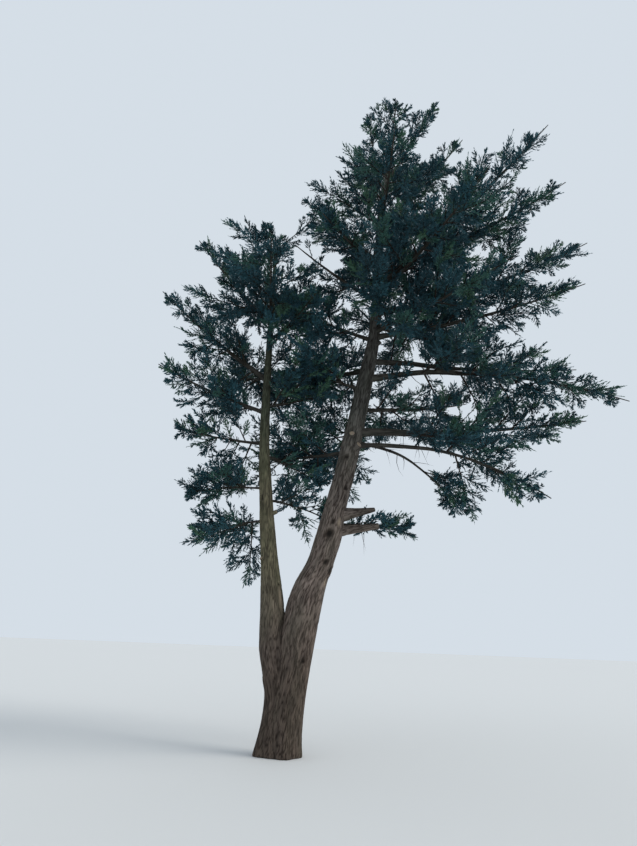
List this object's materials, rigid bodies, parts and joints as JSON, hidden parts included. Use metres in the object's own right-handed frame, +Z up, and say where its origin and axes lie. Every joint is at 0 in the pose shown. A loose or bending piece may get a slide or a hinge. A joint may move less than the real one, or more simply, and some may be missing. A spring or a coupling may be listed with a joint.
{
  "type": "cedar of lebanon tree",
  "caption": "Forked conifer with a stout leaning stem and a slim upright one, bare limbs, cut stubs and feathery evergreen masses above a flared butt.",
  "frame": {"origin": "on the ground, in the middle of the flat cut under the forked trunk", "axes": "+Z is up. The side seen in the reference faces -Y, and the stout stem leans towards +X."},
  "size_m": [7.4642, 4.796, 10.8646],
  "materials": {
    "bark": "rough fissured grey-brown bark",
    "slim_bark": "rough olive-grey bark",
    "needles": "matt dark green foliage"
  },
  "bodies": {
    "root": {"bough_back_left": "bark", "bough_back_mid": "bark", "bough_high": "bark", "bough_high_out": "bark", "bough_left_high": "bark", "bough_long": "bark", "bough_long_up": "bark", "bough_low": "bark", "bough_low_drop": "bark", "bough_mid": "bark", "bough_mid_up": "bark", "bough_slim_up": "slim_bark", "left_stem": "slim_bark", "mass_back_high": "needles", "mass_back_left": "needles", "mass_back_low": "needles", "mass_back_mid": "needles", "mass_back_right": "needles", "mass_back_top": "needles", "mass_front_left": "needles", "mass_front_low": "needles", "mass_front_right": "needles", "mass_front_top": "needles", "mass_high": "needles", "mass_high_out": "needles", "mass_inner": "needles", "mass_leader": "needles", "mass_left_back": "needles", "mass_left_high": "needles", "mass_left_in": "needles", "mass_left_low": "needles", "mass_left_mid": "needles", "mass_long": "needles", "mass_long_up": "needles", "mass_low": "needles", "mass_low_drop": "needles", "mass_low_hang": "needles", "mass_low_spray": "needles", "mass_mid": "needles", "mass_mid_up": "needles", "mass_slim_back": "needles", "mass_slim_back_left": "needles", "mass_slim_between": "needles", "mass_slim_front": "needles", "mass_slim_front_right": "needles", "mass_slim_high": "needles", "mass_slim_leader": "needles", "mass_slim_low": "needles", "mass_slim_lower": "needles", "mass_slim_lowest": "needles", "mass_slim_mid": "needles", "mass_slim_right": "needles", "mass_slim_right_low": "needles", "mass_slim_right_mid": "needles", "mass_slim_up": "needles", "mass_top": "needles", "mass_top_left": "needles", "mass_top_right": "needles", "right_stem": "bark", "trunk": "bark"}
  },
  "joints": []
}
